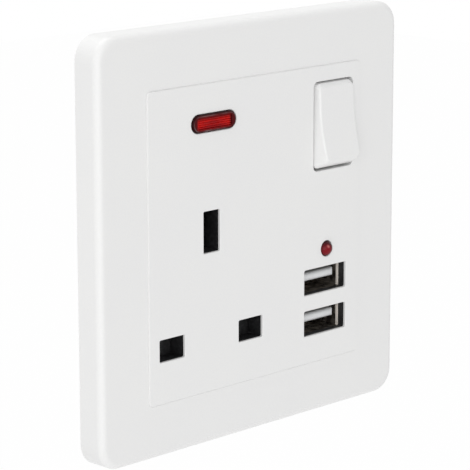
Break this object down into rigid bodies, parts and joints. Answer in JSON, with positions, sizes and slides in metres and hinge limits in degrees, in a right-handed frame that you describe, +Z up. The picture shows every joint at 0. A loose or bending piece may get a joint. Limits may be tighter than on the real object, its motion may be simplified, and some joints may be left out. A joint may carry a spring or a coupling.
{
  "type": "usb wall socket",
  "caption": "Flush square wall socket with a three-pin outlet, rocker switch, red neon lens and a pair of USB-A ports, on a screwless white plate.",
  "frame": {"origin": "plate centre on the wall plane, midway between the two fixing holes", "axes": "+Z up, +X to the right seen from the front, +Y into the wall"},
  "size_m": [0.086, 0.029, 0.086],
  "materials": {
    "white_plastic": "satin white moulding",
    "black_plastic": "matt black moulding",
    "red_lens": "clear red moulding",
    "led_lens": "red epoxy",
    "lamp_glass": "clear glass",
    "resistor_coat": "lacquered",
    "plated_shell": "bright plated sheet",
    "port_insulator": "white moulding",
    "gilt_contacts": "gold flashed",
    "contact_brass": "rolled strip",
    "terminal_brass": "machined",
    "plated_screws": "zinc plated",
    "spring_steel": "drawn wire",
    "plunger_nylon": "natural nylon",
    "board_laminate": "green solder mask",
    "transformer_tape": "yellow tape on ferrite",
    "capacitor_sleeve": "shrink sleeve",
    "chip_epoxy": "moulded epoxy"
  },
  "bodies": {
    "socket": {"front_cover": "white_plastic", "socket_base": "black_plastic", "rear_housing": "black_plastic", "neon_lens": "red_lens", "usb_led": "led_lens", "neon_lamp": "lamp_glass", "neon_resistor": "resistor_coat", "usb_shell_upper": "plated_shell", "usb_shell_lower": "plated_shell", "usb_tongue_upper": "port_insulator", "usb_tongue_lower": "port_insulator", "usb_contacts_upper": "gilt_contacts", "usb_contacts_lower": "gilt_contacts", "neutral_contact": "contact_brass", "live_contact": "contact_brass", "earth_contact": "contact_brass", "fixed_contact": "contact_brass", "neutral_terminal": "terminal_brass", "live_terminal": "terminal_brass", "earth_terminal": "terminal_brass", "housing_screws": "plated_screws", "terminal_screws": "plated_screws", "usb_board": "board_laminate", "transformer": "transformer_tape", "input_capacitor": "capacitor_sleeve", "output_capacitor": "capacitor_sleeve", "charger_chip": "chip_epoxy"},
    "rocker": {"rocker": "white_plastic", "rocker_plunger": "plunger_nylon", "rocker_spring": "spring_steel"},
    "see_saw": {"moving_contact": "contact_brass"},
    "shutter": {"shutter": "black_plastic", "shutter_spring": "spring_steel"}
  },
  "joints": [
    {"name": "rocker_tilt", "type": "hinge", "parent": "socket", "child": "rocker", "pos_m": [0.0229, -0.0034, 0.01865], "axis": [1, 0, 0], "range_deg": [0, 16.6]},
    {"name": "see_saw_tilt", "type": "hinge", "parent": "socket", "child": "see_saw", "pos_m": [0.0229, 0.0038, 0.01865], "axis": [1, 0, 0], "range_deg": [-12, 0]},
    {"name": "shutter_lift", "type": "slide", "parent": "socket", "child": "shutter", "axis": [0, 0, 1], "range_m": [0, 0.0051], "stiffness_N_per_m": 80, "springref_m": -0.004, "deforming": ["shutter_spring"]}
  ],
  "couplings": [
    {"joint": "see_saw_tilt", "follows": "rocker_tilt", "ratio": -0.72289}
  ]
}
